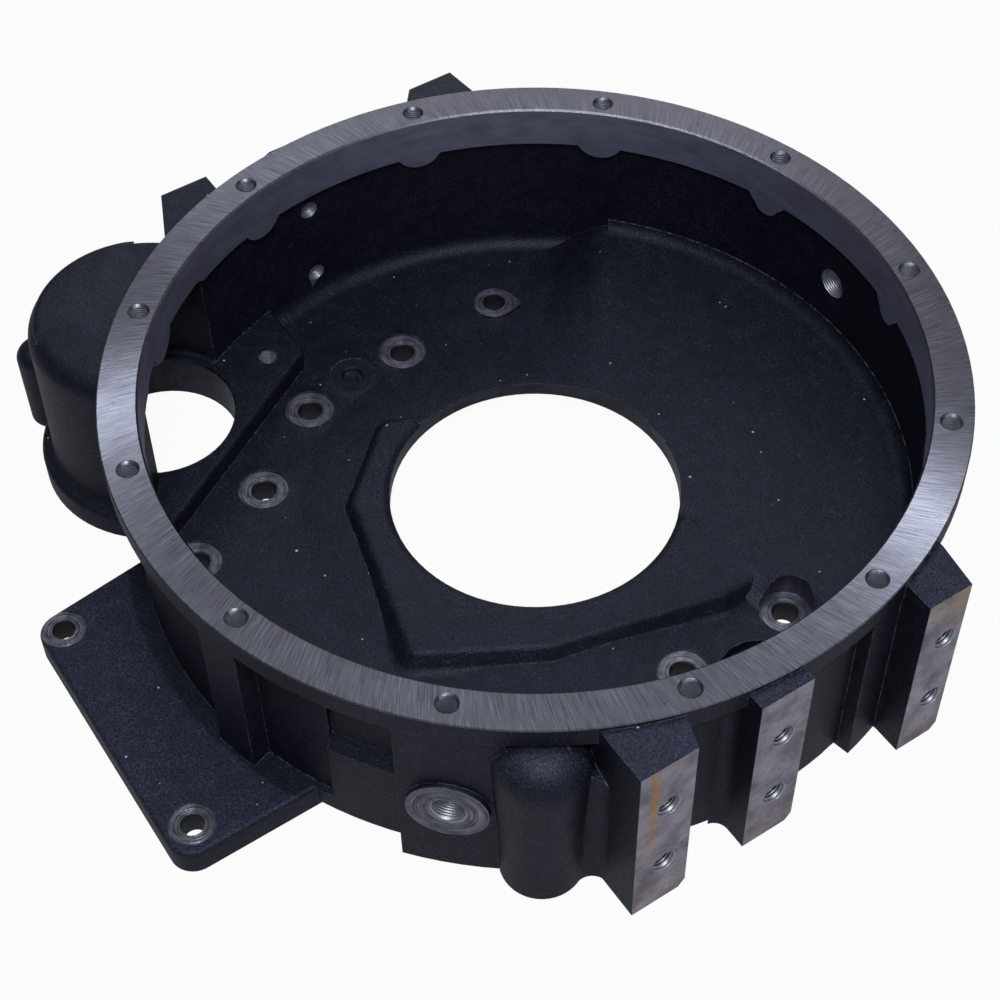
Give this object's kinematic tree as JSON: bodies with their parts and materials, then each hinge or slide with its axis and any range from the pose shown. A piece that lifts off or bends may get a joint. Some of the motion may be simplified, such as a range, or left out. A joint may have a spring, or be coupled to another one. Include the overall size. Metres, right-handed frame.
{
  "type": "flywheel housing",
  "caption": "Cast iron flywheel housing: a round bell with a tapped flange and pilot bore, a crank bore in its floor, a starter housing, a foot with bolt holes and machined side pads.",
  "frame": {"origin": "centre of the flange face, on the crank axis", "axes": "+Z along the crank axis, out of the open side of the bell; +X the outward normal of the three tapped side pads; +Y away from the foot"},
  "size_m": [0.4736, 0.5003, 0.124],
  "materials": {
    "painted_iron": "blue-black paint on the sand-cast skin, bare turned and milled iron on the machined faces"
  },
  "bodies": {
    "root": {"housing_casting": "painted_iron"}
  },
  "joints": []
}
